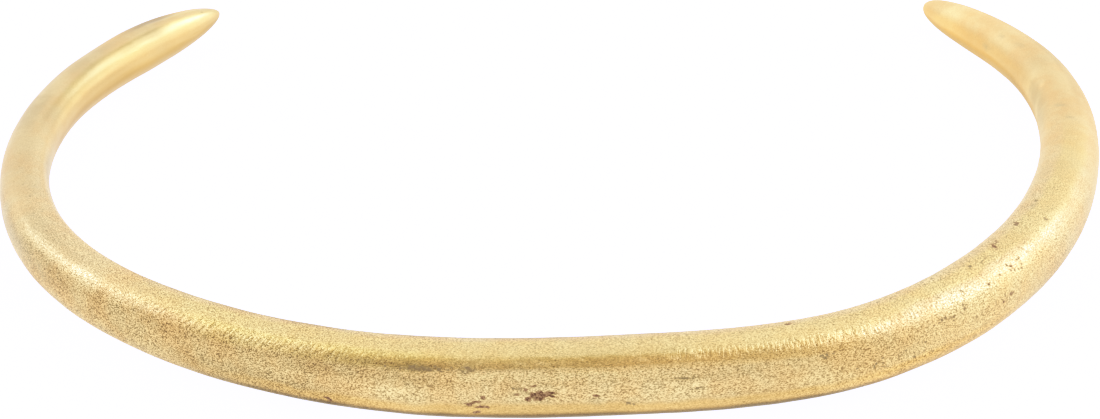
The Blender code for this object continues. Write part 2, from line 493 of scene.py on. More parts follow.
def barSkin(gilding):
    guide, length = guideLine(*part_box("bracelet"))
    modifier = guide.modifiers.new("bangleBar", "NODES")
    modifier.node_group = barTree()
    setInputs(modifier, {
        "Ring Points": skin["ringPoints"], "Seed": skin["seed"], "First Turn": skin["firstTurn"],
        "Dense Turn": skin["denseTurn"], "Crowding": skin["crowding"], "Rest Wear": bar["restWear"],
        "Inset": skin["inset"], "Facet Size": skin["facetSize"], "Facet Depth": skin["facetDepth"],
        "Dent Size": skin["dentSize"], "Dent Depth": skin["dentDepth"],
        "Granule Size": skin["granuleSize"], "Granule Depth": skin["granuleDepth"],
        "Stroke Fade": strokes["fade"], "Stroke Size": strokes["size"], "Stroke Depth": strokes["depth"],
        "Pinhole Density": skin["pinholeDensity"], "Pinhole Gap": skin["pinholeGap"],
        "Pinhole Radius": skin["pinholeRadius"], "Pinhole Depth": skin["pinholeDepth"], "Gilding": gilding,
    })
    seen = bpy.context.evaluated_depsgraph_get()
    made = guide.evaluated_get(seen)
    mesh = bpy.data.meshes.new_from_object(made, preserve_all_data_layers=True, depsgraph=seen)
    mesh.name = "gildedBar"
    bpy.data.objects.remove(guide, do_unlink=True)
    piece = bpy.data.objects.new("gildedBar", mesh)
    bpy.context.scene.collection.objects.link(piece)
    return piece, length


# Marks left by corrosion: share of the length and degrees round (0 faces outwards, 90 up), length and
# width in mm, tilt in degrees, depth in mm, how brown they are, and how ragged their edges
pits = (
    {"at": (0.4957, 1.5), "size": (1.00, 0.72), "tilt": 14.0, "depth": 0.10, "brown": 0.90, "ragged": 1.1},
    {"at": (0.4917, -4.0), "size": (0.42, 0.36), "tilt": 0.0, "depth": 0.09, "brown": 1.0, "ragged": 0.5},
    {"at": (0.5003, 6.5), "size": (0.90, 0.20), "tilt": -4.0, "depth": 0.05, "brown": 0.9, "ragged": 0.6},
    {"at": (0.5004, 1.0), "size": (0.80, 0.20), "tilt": -24.0, "depth": 0.05, "brown": 0.9, "ragged": 0.6},
    {"at": (0.4937, 18.0), "size": (0.50, 0.16), "tilt": 18.0, "depth": 0.04, "brown": 0.75, "ragged": 0.8},
    {"at": (0.4885, 13.5), "size": (0.70, 0.13), "tilt": 4.0, "depth": 0.03, "brown": 0.72, "ragged": 1.2},
    {"at": (0.4880, 6.5), "size": (0.80, 0.12), "tilt": 4.0, "depth": 0.03, "brown": 0.70, "ragged": 1.2},
    {"at": (0.4743, -1.5), "size": (0.30, 0.26), "tilt": 0.0, "depth": 0.06, "brown": 1.0, "ragged": 0.4},
    {"at": (0.4735, 8.0), "size": (0.24, 0.18), "tilt": 0.0, "depth": 0.03, "brown": 0.7, "ragged": 0.4},
    {"at": (0.4712, -10.5), "size": (1.20, 0.20), "tilt": 14.0, "depth": 0.04, "brown": 0.95, "ragged": 0.7},
    {"at": (0.4690, -14.5), "size": (0.34, 0.24), "tilt": 0.0, "depth": 0.05, "brown": 1.0, "ragged": 0.5},
    {"at": (0.4736, -18.5), "size": (0.90, 0.20), "tilt": 10.0, "depth": 0.04, "brown": 0.95, "ragged": 0.7},
    {"at": (0.4761, -19.0), "size": (0.32, 0.26), "tilt": 0.0, "depth": 0.05, "brown": 1.0, "ragged": 0.5},
    {"at": (0.4716, -30.0), "size": (0.52, 0.26), "tilt": 16.0, "depth": 0.05, "brown": 1.0, "ragged": 0.6},
    {"at": (0.4133, -26.5), "size": (0.40, 0.24), "tilt": -10.0, "depth": 0.05, "brown": 0.85, "ragged": 0.6},
    {"at": (0.4149, -29.5), "size": (0.44, 0.24), "tilt": -50.0, "depth": 0.05, "brown": 0.95, "ragged": 0.6},
    {"at": (0.4386, -13.0), "size": (0.26, 0.20), "tilt": 0.0, "depth": 0.03, "brown": 0.75, "ragged": 0.5},
    {"at": (0.4684, 44.5), "size": (0.44, 0.26), "tilt": -20.0, "depth": 0.04, "brown": 0.75, "ragged": 1.3},
    {"at": (0.4664, 45.5), "size": (0.40, 0.16), "tilt": 10.0, "depth": 0.03, "brown": 0.65, "ragged": 1.2},
    {"at": (0.4704, 40.5), "size": (0.50, 0.16), "tilt": 25.0, "depth": 0.04, "brown": 0.7, "ragged": 1.1},
    {"at": (0.4530, 39.5), "size": (0.90, 0.18), "tilt": -4.0, "depth": 0.03, "brown": 0.68, "ragged": 1.3},
    {"at": (0.4475, 38.5), "size": (0.70, 0.16), "tilt": 6.0, "depth": 0.03, "brown": 0.64, "ragged": 1.3},
    {"at": (0.5180, -1.0), "size": (0.46, 0.19), "tilt": -12.0, "depth": 0.04, "brown": 0.9, "ragged": 0.5},
    {"at": (0.5172, -5.5), "size": (0.38, 0.18), "tilt": 20.0, "depth": 0.03, "brown": 0.7, "ragged": 0.5},
    {"at": (0.5312, -17.5), "size": (0.80, 0.28), "tilt": -28.0, "depth": 0.06, "brown": 0.72, "ragged": 0.9},
    {"at": (0.5520, 21.5), "size": (2.20, 0.15), "tilt": -3.0, "depth": 0.04, "brown": 0.70, "ragged": 0.7},
    {"at": (0.5580, 4.0), "size": (1.80, 0.15), "tilt": 6.0, "depth": 0.04, "brown": 0.70, "ragged": 0.7},
    {"at": (0.5685, 41.5), "size": (0.50, 0.16), "tilt": -8.0, "depth": 0.03, "brown": 0.55, "ragged": 0.6},
    {"at": (0.5990, 106.5), "size": (0.50, 0.34), "tilt": 0.0, "depth": 0.05, "brown": 0.9, "ragged": 0.8},
    {"at": (0.6080, 28.5), "size": (0.55, 0.30), "tilt": -10.0, "depth": 0.03, "brown": 0.60, "ragged": 1.2},
    {"at": (0.6287, -1.5), "size": (0.50, 0.34), "tilt": 0.0, "depth": 0.03, "brown": 0.45, "ragged": 1.3},
    {"at": (0.6320, -20.0), "size": (0.60, 0.24), "tilt": -40.0, "depth": 0.03, "brown": 0.40, "ragged": 1.3},
    {"at": (0.6765, 56.5), "size": (0.44, 0.34), "tilt": -60.0, "depth": 0.06, "brown": 0.72, "ragged": 1.2},
    {"at": (0.6752, 49.5), "size": (0.46, 0.18), "tilt": 20.0, "depth": 0.03, "brown": 0.5, "ragged": 1.2},
    {"at": (0.6645, 28.5), "size": (0.40, 0.30), "tilt": 0.0, "depth": 0.03, "brown": 0.55, "ragged": 1.2},
    {"at": (0.7135, 99.0), "size": (0.70, 0.24), "tilt": 60.0, "depth": 0.05, "brown": 0.85, "ragged": 1.0},
    {"at": (0.7170, 103.5), "size": (0.80, 0.20), "tilt": 24.0, "depth": 0.03, "brown": 0.8, "ragged": 1.0},
    {"at": (0.7125, 92.0), "size": (0.45, 0.18), "tilt": 20.0, "depth": 0.03, "brown": 0.75, "ragged": 1.0},
    {"at": (0.7360, 104.5), "size": (0.80, 0.46), "tilt": 15.0, "depth": 0.04, "brown": 0.78, "ragged": 1.4},
    {"at": (0.6928, 95.0), "size": (0.26, 0.60), "tilt": -15.0, "depth": 0.03, "brown": 0.68, "ragged": 1.3},
    {"at": (0.7470, 69.0), "size": (0.40, 0.36), "tilt": 0.0, "depth": 0.04, "brown": 0.68, "ragged": 1.2},
    {"at": (0.7600, 104.0), "size": (0.60, 0.36), "tilt": 10.0, "depth": 0.03, "brown": 0.66, "ragged": 1.2},
    {"at": (0.6900, 46.5), "size": (0.26, 0.22), "tilt": 0.0, "depth": 0.04, "brown": 0.8, "ragged": 0.5},
    {"at": (0.6935, 48.0), "size": (0.22, 0.18), "tilt": 0.0, "depth": 0.03, "brown": 0.7, "ragged": 0.5},
    {"at": (0.6985, 49.0), "size": (0.26, 0.18), "tilt": 0.0, "depth": 0.03, "brown": 0.7, "ragged": 0.5},
    {"at": (0.7070, 49.5), "size": (0.30, 0.20), "tilt": 0.0, "depth": 0.03, "brown": 0.8, "ragged": 0.5},
    {"at": (0.7120, 52.5), "size": (0.24, 0.20), "tilt": 0.0, "depth": 0.03, "brown": 0.7, "ragged": 0.5},
    {"at": (0.6960, 6.0), "size": (0.32, 0.24), "tilt": 0.0, "depth": 0.04, "brown": 0.8, "ragged": 0.8},
    {"at": (0.7010, 13.5), "size": (0.40, 0.22), "tilt": 30.0, "depth": 0.04, "brown": 0.8, "ragged": 0.8},
    {"at": (0.7060, 120.0), "size": (0.40, 0.26), "tilt": 0.0, "depth": 0.04, "brown": 0.6, "ragged": 0.8},
    {"at": (0.6920, 96.0), "size": (0.32, 0.20), "tilt": 0.0, "depth": 0.03, "brown": 0.65, "ragged": 0.6},
)

# Sprinklings of small specks: their middle, how far they spread in share and degrees, how many there
# are, and what each is like
sprinklings = (
    {"at": (0.7090, 50.0), "spread": (0.0060, 7.0), "count": 16, "size": (0.24, 0.18), "brown": 0.66},
    {"at": (0.6640, 29.0), "spread": (0.0050, 4.5), "count": 12, "size": (0.26, 0.20), "brown": 0.74},
    {"at": (0.6300, -4.0), "spread": (0.0050, 6.0), "count": 12, "size": (0.28, 0.20), "brown": 0.66},
    {"at": (0.6450, 1.0), "spread": (0.0040, 8.0), "count": 9, "size": (0.26, 0.20), "brown": 0.66},
    {"at": (0.6560, -17.0), "spread": (0.0080, 5.0), "count": 9, "size": (0.28, 0.20), "brown": 0.60},
    {"at": (0.6980, 10.0), "spread": (0.0060, 6.0), "count": 9, "size": (0.28, 0.20), "brown": 0.66},
    {"at": (0.6060, 30.0), "spread": (0.0030, 3.0), "count": 7, "size": (0.30, 0.18), "brown": 0.66},
    {"at": (0.7150, 93.0), "spread": (0.0160, 10.0), "count": 18, "size": (0.30, 0.18), "brown": 0.62},
    {"at": (0.4510, 41.0), "spread": (0.0055, 3.0), "count": 26, "size": (0.26, 0.13), "brown": 0.74},
    {"at": (0.4600, 38.0), "spread": (0.0060, 3.0), "count": 8, "size": (0.26, 0.13), "brown": 0.66},
    {"at": (0.4885, 10.0), "spread": (0.0030, 4.0), "count": 9, "size": (0.34, 0.11), "brown": 0.66},
    {"at": (0.2000, 92.0), "spread": (0.0120, 14.0), "count": 16, "size": (0.36, 0.24), "brown": 0.56},
)
sprinkled = {"ragged": 0.7, "depth": 0.03, "tilt": 20.0, "growth": (0.7, 1.3), "seed": 31}

# Patches of grey-green film on the gilding, with places and sizes as above
stains = (
    {"at": (0.4510, 42.0), "size": (2.4, 0.6), "tilt": 0.0, "strength": 0.35},
    {"at": (0.5190, -12.0), "size": (1.1, 0.8), "tilt": 0.0, "strength": 0.5},
    {"at": (0.4680, 42.0), "size": (1.0, 0.8), "tilt": 0.0, "strength": 0.35},
    {"at": (0.1350, 75.0), "size": (9.0, 1.6), "tilt": 0.0, "strength": 0.5},
    {"at": (0.0450, 90.0), "size": (4.0, 1.2), "tilt": 0.0, "strength": 0.25},
    {"at": (0.0850, 85.0), "size": (6.0, 1.4), "tilt": 0.0, "strength": 0.4},
    {"at": (0.7550, 104.0), "size": (1.4, 0.7), "tilt": 0.0, "strength": 0.35},
    {"at": (0.9250, 110.0), "size": (1.4, 0.7), "tilt": 20.0, "strength": 0.30},
    {"at": (0.9390, 120.0), "size": (0.7, 0.5), "tilt": 0.0, "strength": 0.70},
    {"at": (0.9430, 165.0), "size": (1.5, 0.6), "tilt": 0.0, "strength": 0.50},
    {"at": (0.8720, 158.0), "size": (11.0, 2.0), "tilt": 0.0, "strength": 0.50},
    {"at": (0.9850, 95.0), "size": (5.0, 4.0), "tilt": 0.0, "strength": 0.30},
    {"at": (0.8570, 106.5), "size": (1.1, 0.50), "tilt": 68.0, "strength": 0.50},
    {"at": (0.8437, 90.0), "size": (1.1, 0.46), "tilt": 62.0, "strength": 0.50},
)

# How far a mark's hollow and colour reach, where 1 is the mark's own edge
marks = {
    "hollowTo": 1.15,
    "brownTo": 1.6,
    "brownFade": 1.2,  # over how much of that way the brown comes up
    "thickTo": 2.5,  # past where the brown ends, so that its tint has no edge of its own
    "filmTo": 1.3,
    "fraySize": 0.17 * mm,
    "firstSeed": 11,  # each pit frays by a seed of its own, counted from here
}
latticeSize = (97, 89)  # the random values repeat after so many steps
latticeShift = 1.0  # in metres, so that no place on the lattice is below zero


def eased(share):
    share = np.clip(share, 0.0, 1.0)
    return share * share * (3.0 - 2.0 * share)


def latticeNoise(x, y, size, seed):  # smooth random values from 0 to 1
    table = np.random.default_rng(seed).random(latticeSize)
    column = np.floor(x / size).astype(int)
    row = np.floor(y / size).astype(int)
    pastColumn = eased(x / size - column)
    pastRow = eased(y / size - row)
    near = column % latticeSize[0]
    far = (column + 1) % latticeSize[0]
    lines = (row % latticeSize[1], (row + 1) % latticeSize[1])
    low, high = (table[near, line] * (1.0 - pastColumn) + table[far, line] * pastColumn for line in lines)
    return low * (1.0 - pastRow) + high * pastRow


def markDistance(where, mark, ragged=0.0, seed=0):  # 1 at the mark's edge, less inside it
    away = where["along"] - mark["at"][0] * where["length"]
    turned = (where["turn"] - math.radians(mark["at"][1]) + math.pi) % (2.0 * math.pi) - math.pi
    up = turned * where["side"] * arcShare
    lean = math.radians(mark["tilt"])
    lengthways = away * math.cos(lean) + up * math.sin(lean)
    crossways = up * math.cos(lean) - away * math.sin(lean)
    distance = np.hypot(2.0 * lengthways / (mark["size"][0] * mm), 2.0 * crossways / (mark["size"][1] * mm))
    frayed = latticeNoise(away + latticeShift, up + latticeShift, marks["fraySize"], seed) - 0.5
    return distance + ragged * frayed


def allPits():  # those placed one by one, then the sprinkled specks
    chance = np.random.default_rng(sprinkled["seed"])
    specks = []
    for group in sprinklings:
        for away in chance.normal(size=(group["count"], 2)):
            growth = chance.uniform(*sprinkled["growth"])
            specks.append({
                "at": np.add(group["at"], np.multiply(group["spread"], away)),
                "size": np.multiply(group["size"], growth), "tilt": chance.normal() * sprinkled["tilt"],
                "depth": sprinkled["depth"], "brown": group["brown"], "ragged": sprinkled["ragged"],
            })
    return [*pits, *specks]


def sinkPits(points, normals, where):
    shown = np.zeros(len(points))
    thick = np.zeros(len(points))
    for number, pit in enumerate(allPits()):
        distance = markDistance(where, pit, pit["ragged"], number + marks["firstSeed"])
        points -= normals * (pit["depth"] * mm * eased(marks["hollowTo"] - distance))[:, None]
        browned = np.clip((marks["brownTo"] - distance) / marks["brownFade"], 0.0, 1.0)
        shown = np.maximum(shown, pit["brown"] * browned)
        thick = np.where(distance < marks["thickTo"], np.maximum(thick, pit["brown"]), thick)
    return shown, thick


def layFilm(where):
    films = [stain["strength"] * eased(marks["filmTo"] - markDistance(where, stain)) for stain in stains]
    return np.max(films, axis=0)


# Narrow planes: two meet in the crease under the ridge along the front, one flattens the left tip.
# Each faces a way and passes through two places round the section, in degrees, and starts, is full, fades
# and ends along the bar. Its droop, in degrees, goes by the square of the share from the crease's middle.
planes = (
    {"facing": 24.5, "through": (15.0, 44.5), "share": (0.36, 0.42, 0.55, 0.62), "droop": 500.0,
     "sunk": 0.03 * mm, "wavy": 0.02 * mm},
    {"facing": 56.0, "through": (44.5, 64.5), "share": (0.36, 0.42, 0.55, 0.62), "droop": 500.0,
     "sunk": 0.03 * mm, "wavy": 0.06 * mm},
    {"facing": 79.0, "through": (54.0, 104.0), "share": (-0.03, -0.01, 0.034, 0.052), "droop": 0.0,
     "sunk": 0.02 * mm, "wavy": 0.0},
)
planing = {
    "fade": 0.12 * mm,  # how far a plane rises clear of the bar where it ends
    "softness": 0.012 * mm,
    "softTo": 4.0,  # points further under a plane than so many softnesses stay
    "creaseMiddle": 0.535,  # share of the length where the crease is highest
    "waveSize": 0.55 * mm,
    "waveSeed": 5,
}


def sectionReach(angle, squareness):  # from the middle to the bar's surface, as a share of half its side
    return (np.abs(np.cos(angle)) ** squareness + np.abs(np.sin(angle)) ** squareness) ** (-1.0 / squareness)


def planeOffPlanes(points, where, middle, outwards, squareness):
    share = where["share"]
    across = where["turn"] * where["side"] + latticeShift
    waves = latticeNoise(where["along"], across, planing["waveSize"], planing["waveSeed"]) - 0.5
    for plane in planes:
        droop = plane["droop"] * (share - planing["creaseMiddle"]) ** 2
        facing = np.radians(plane["facing"] - droop)
        normal = outwards * np.cos(facing)[:, None]
        normal[:, 2] = np.sin(facing)
        edges = [np.radians(edge - droop) for edge in plane["through"]]
        reach = sum(sectionReach(edge, squareness) * np.cos(edge - facing) for edge in edges) / 2.0
        start, full, fading, end = plane["share"]
        strength = eased((share - start) / (full - start)) * eased((end - share) / (end - fading))
        offset = where["side"] / 2.0 * reach - plane["sunk"] + planing["fade"] * (1.0 - strength)
        offset += plane["wavy"] * waves
        excess = ((points - middle) * normal).sum(1) - offset
        cut = 0.5 * (excess + np.sqrt(excess**2 + planing["softness"]**2))
        cut = np.where(excess > -planing["softTo"] * planing["softness"], cut, 0.0)
        points -= normal * cut[:, None]


# How coarse the grain is round the section, in degrees: along most of the bar, and past the front's right
# end, with the stretch where the second takes over
coarseRound = (
    (-180, 0.4), (-60, 0.6), (-20, 0.9), (-8, 1.0), (36, 1.0), (46, 0.58), (56, 0.48), (66, 0.48), (80, 0.62),
    (92, 0.70), (115, 0.76), (130, 0.82), (160, 0.6), (180, 0.4),
)
coarseRoundRight = (
    (-180, 0.4), (-60, 0.6), (-20, 0.9), (-8, 1.0), (36, 1.0), (46, 0.80), (60, 0.72), (80, 0.85),
    (92, 0.98), (115, 0.98), (130, 0.9), (160, 0.7), (180, 0.4),
)
rightEnd = (0.60, 0.67)
patchiness = {"sizes": (2.8 * mm, 1.1 * mm), "swing": 0.30, "seed": 3}

# How dull the smooth metal is along the bar
dullness = (
    (0.00, 0.34), (0.10, 0.36), (0.24, 0.31), (0.36, 0.31), (0.50, 0.34), (0.74, 0.35), (0.80, 0.46),
    (0.88, 0.60), (1.00, 0.70),
)

# Zones of the finish and of painted light and shade: where each starts, is full, fades and ends along
# the bar, its middle round the section with how far from there it is full and ends, in degrees, and how
# strong it is
rubbed = (  # the grain is worn away
    {"share": (0.40, 0.44, 0.56, 0.62), "turn": (-30.0, 14.0, 24.0), "amount": 0.55},
)
warmer = (  # redder; on the arms' inner sides and the tips' lower inner edges a painted reflection of the gold
    # painted warm reflection of the gold on both arms' inner sides
    {"share": (-0.02, -0.01, 0.10, 0.21), "turn": (168.0, 14.0, 42.0), "amount": 0.62},
    {"share": (0.86, 0.92, 0.98, 1.02), "turn": (170.0, 10.0, 36.0), "amount": 0.60},
    {"share": (0.33, 0.42, 0.66, 0.75), "turn": (-34.0, 12.0, 24.0), "amount": 0.80},
    # painted warm reflection along both tips' lower inner edges
    {"share": (-0.02, -0.01, 0.12, 0.20), "turn": (212.0, 20.0, 40.0), "amount": 0.70},
    {"share": (0.84, 0.90, 0.98, 1.02), "turn": (214.0, 20.0, 38.0), "amount": 0.60},
    {"share": (0.00, 0.03, 0.06, 0.08), "turn": (62.0, 14.0, 26.0), "amount": 0.80},
    {"share": (0.47, 0.52, 0.60, 0.64), "turn": (47.0, 6.0, 14.0), "amount": 0.40},
    {"share": (0.56, 0.62, 0.70, 0.78), "turn": (12.0, 24.0, 44.0), "amount": 0.25},
)
lemony = (  # yellower gilding, less yellow below zero; at the right ridge and left tip it is a painted highlight colour
    {"share": (0.28, 0.36, 0.80, 0.86), "turn": (80.0, 16.0, 32.0), "amount": 0.42},
    {"share": (0.34, 0.37, 0.44, 0.47), "turn": (52.0, 8.0, 20.0), "amount": 0.30},
    # the painted whiter colour of the highlight on the right front's ridge
    {"share": (0.63, 0.66, 0.71, 0.74), "turn": (58.0, 8.0, 18.0), "amount": -0.42},
    # the painted cream colour of the highlight streak along the left tip
    {"share": (-0.02, -0.01, 0.10, 0.15), "turn": (128.0, 12.0, 26.0), "amount": 0.60},
    {"share": (-0.02, -0.01, 0.025, 0.045), "turn": (80.0, 14.0, 28.0), "amount": 0.65},
)
paintedLightAndShade = (  # painted light and shade, lighter above zero, darker below; partly the metal's own tone
    # painted shade in the crease under the ridge
    {"share": (0.40, 0.43, 0.51, 0.56), "turn": (44.5, 2.0, 8.0), "amount": -0.10},
    {"share": (0.43, 0.445, 0.455, 0.465), "turn": (42.0, 2.0, 6.0), "amount": -0.13},
    {"share": (0.39, 0.405, 0.44, 0.475), "turn": (35.0, 9.0, 19.0), "amount": -0.12},
    # a painted dark reflection of the shade under the bar, along its lower edge
    {"share": (0.31, 0.41, 0.60, 0.69), "turn": (-54.0, 14.0, 26.0), "amount": -0.74, "waver": 0.35},
    {"share": (0.22, 0.26, 0.31, 0.36), "turn": (-36.0, 8.0, 20.0), "amount": -0.09},
    {"share": (0.63, 0.67, 0.72, 0.76), "turn": (-36.0, 8.0, 20.0), "amount": -0.11},
    # a painted highlight on the right front's ridge
    {"share": (0.67, 0.69, 0.72, 0.74), "turn": (50.0, 8.0, 18.0), "amount": 0.08},
    # painted dark reflections along both tips' lower inner edges
    {"share": (-0.02, -0.01, 0.12, 0.20), "turn": (212.0, 20.0, 40.0), "amount": -0.22},
    {"share": (0.84, 0.90, 0.98, 1.02), "turn": (216.0, 20.0, 38.0), "amount": -0.18},
    {"share": (0.38, 0.42, 0.58, 0.64), "turn": (-22.0, 8.0, 18.0), "amount": -0.07},
    {"share": (0.33, 0.365, 0.40, 0.44), "turn": (-18.0, 12.0, 26.0), "amount": -0.12},
    {"share": (0.24, 0.27, 0.40, 0.44), "turn": (2.0, 30.0, 42.0), "amount": -0.09},
    {"share": (0.43, 0.455, 0.60, 0.67), "turn": (0.0, 20.0, 28.0), "amount": -0.08},
    {"share": (0.44, 0.47, 0.53, 0.56), "turn": (28.0, 7.0, 12.0), "amount": 0.08},
    {"share": (0.55, 0.58, 0.64, 0.67), "turn": (20.0, 14.0, 26.0), "amount": -0.05},
    {"share": (0.66, 0.68, 0.71, 0.73), "turn": (32.0, 12.0, 26.0), "amount": 0.05},
    {"share": (0.57, 0.585, 0.60, 0.62), "turn": (54.0, 5.0, 12.0), "amount": -0.07},
    {"share": (0.22, 0.245, 0.275, 0.30), "turn": (70.0, 12.0, 24.0), "amount": -0.14},
    {"share": (0.18, 0.21, 0.24, 0.265), "turn": (12.0, 16.0, 30.0), "amount": -0.14},
    {"share": (0.08, 0.10, 0.14, 0.17), "turn": (50.0, 8.0, 18.0), "amount": -0.12},
    {"share": (0.32, 0.34, 0.37, 0.40), "turn": (80.0, 10.0, 20.0), "amount": 0.05},
    {"share": (0.48, 0.52, 0.64, 0.67), "turn": (63.0, 5.0, 13.0), "amount": -0.06},
    {"share": (0.28, 0.34, 0.54, 0.60), "turn": (133.0, 12.0, 22.0), "amount": -0.22},
    {"share": (0.34, 0.38, 0.50, 0.53), "turn": (126.0, 8.0, 16.0), "amount": -0.09},
    {"share": (0.71, 0.73, 0.76, 0.79), "turn": (-18.0, 10.0, 24.0), "amount": -0.12},
    {"share": (0.71, 0.73, 0.76, 0.79), "turn": (70.0, 8.0, 18.0), "amount": -0.06},
    {"share": (0.21, 0.24, 0.275, 0.30), "turn": (20.0, 14.0, 26.0), "amount": -0.12},
    {"share": (0.14, 0.17, 0.20, 0.23), "turn": (70.0, 30.0, 50.0), "amount": -0.08},
    {"share": (0.14, 0.18, 0.22, 0.26), "turn": (164.0, 10.0, 26.0), "amount": -0.16},
    {"share": (0.05, 0.08, 0.22, 0.26), "turn": (176.0, 14.0, 34.0), "amount": -0.13},
    {"share": (0.065, 0.08, 0.09, 0.115), "turn": (150.0, 8.0, 22.0), "amount": -0.07},
    # painted shade beside the left arm's highlight streak, narrowing it
    {"share": (0.06, 0.08, 0.12, 0.17), "turn": (126.0, 8.0, 26.0), "amount": -0.27},
    {"share": (0.03, 0.045, 0.06, 0.08), "turn": (122.0, 6.0, 17.0), "amount": -0.46},
    # painted shade over the highlight on the left tip's flat
    {"share": (0.02, 0.034, 0.042, 0.065), "turn": (68.0, 12.0, 28.0), "amount": -0.44},
    {"share": (-0.02, -0.01, 0.015, 0.03), "turn": (96.0, 30.0, 50.0), "amount": 0.10},
    {"share": (0.78, 0.84, 0.90, 0.94), "turn": (100.0, 60.0, 100.0), "amount": 0.04},
    {"share": (0.83, 0.88, 0.97, 1.00), "turn": (58.0, 10.0, 22.0), "amount": -0.12},
    {"share": (0.90, 0.95, 1.01, 1.02), "turn": (110.0, 80.0, 130.0), "amount": 0.16},
    {"share": (0.955, 0.975, 1.01, 1.02), "turn": (110.0, 60.0, 100.0), "amount": 0.17},
    {"share": (0.82, 0.85, 0.89, 0.93), "turn": (160.0, 18.0, 34.0), "amount": 0.09},
    # a painted glint on the right arm
    {"share": (0.8805, 0.8825, 0.8835, 0.8855), "turn": (130.5, 2.0, 7.0), "amount": 0.22},
)

# How unevenly a zone ends, in degrees: less where its fade is narrower than the full width, and a zone
# can state a share of its own as its waver
zoneWaver = {"size": 1.6 * mm, "degrees": 9.0, "fullWidth": 10.0, "seed": 4}


def inZones(where, zones):
    share = where["share"]
    waves = latticeNoise(where["along"], where["up"], zoneWaver["size"], zoneWaver["seed"]) - 0.5
    waver = zoneWaver["degrees"] * waves
    amount = np.zeros(len(share))
    for zone in zones:
        start, full, fading, end = zone["share"]
        middle, inner, outer = zone["turn"]
        away = np.abs((np.degrees(where["turn"]) - middle + 180.0) % 360.0 - 180.0)
        away += waver * zone.get("waver", min(1.0, (outer - inner) / zoneWaver["fullWidth"]))
        along = eased((share - start) / (full - start)) * eased((end - share) / (end - fading))
        amount += zone["amount"] * along * eased((outer - away) / (outer - inner))
    return amount


def coarseness(where, granular):
    degrees = np.degrees(where["turn"])
    right = eased((where["share"] - rightEnd[0]) / (rightEnd[1] - rightEnd[0]))
    around = readTable(coarseRound, degrees) * (1.0 - right) + readTable(coarseRoundRight, degrees) * right
    place = (where["along"], where["up"])
    patches = sum(latticeNoise(*place, size, patchiness["seed"]) for size in patchiness["sizes"]) - 1.0
    return granular * around * (1.0 - inZones(where, rubbed)) * (1.0 + patchiness["swing"] * patches)


def vertexNormals(mesh):
    normals = np.empty(len(mesh.vertices) * 3, np.float32)
    mesh.vertex_normals.foreach_get("vector", normals)
    return normals.reshape(-1, 3).astype(float)


usedUp = (  # attributes that nothing needs once the piece is finished
    "middle", "outwards", "side", "squareness", "turn", "along", "lean", "strokeMiddle", "strokeReach",
    "grainAlong", "straight", "outFacing", "upFacing",
)


def handFinish(piece, length):
    mesh = piece.data

    # Where each point lies on the bar
    along = readAttribute(mesh, "along")
    side = readAttribute(mesh, "side")
    turn = np.arctan2(readAttribute(mesh, "upFacing"), readAttribute(mesh, "outFacing"))
    up = (turn + math.pi) * side * arcShare  # distance round the section, from its inner side
    where = {"along": along, "length": length, "share": along / length, "turn": turn, "side": side, "up": up}

    # Planes and pits are cut into it
    points = np.empty(len(mesh.vertices) * 3, np.float32)
    mesh.vertices.foreach_get("co", points)
    points = points.reshape(-1, 3).astype(float)
    section = (readAttribute(mesh, name) for name in ("middle", "outwards", "squareness"))
    planeOffPlanes(points, where, *section)
    pitted, thick = sinkPits(points, vertexNormals(mesh), where)
    mesh.vertices.foreach_set("co", points.astype(np.float32).ravel())

    # What the gilding reads
    addAttribute(mesh, "pit", pitted)
    addAttribute(mesh, "thick", thick)
    addAttribute(mesh, "stain", layFilm(where))
    addAttribute(mesh, "coarse", coarseness(where, readAttribute(mesh, "granular")))
    addAttribute(mesh, "dull", readTable(dullness, where["share"]))
    addAttribute(mesh, "warm", inZones(where, warmer))
    addAttribute(mesh, "lemon", inZones(where, lemony))
    # painted light and shade, as a factor on the tone
    addAttribute(mesh, "shade", 1.0 + inZones(where, paintedLightAndShade))
    straight = readAttribute(mesh, "straight")
    grainAt = np.column_stack((readAttribute(mesh, "grainAlong"), straight[:, 1:] / gild["grainWidth"]))
    addAttribute(mesh, "grainAt", grainAt)
    for name in usedUp:
        mesh.attributes.remove(mesh.attributes[name])
    mesh.update()


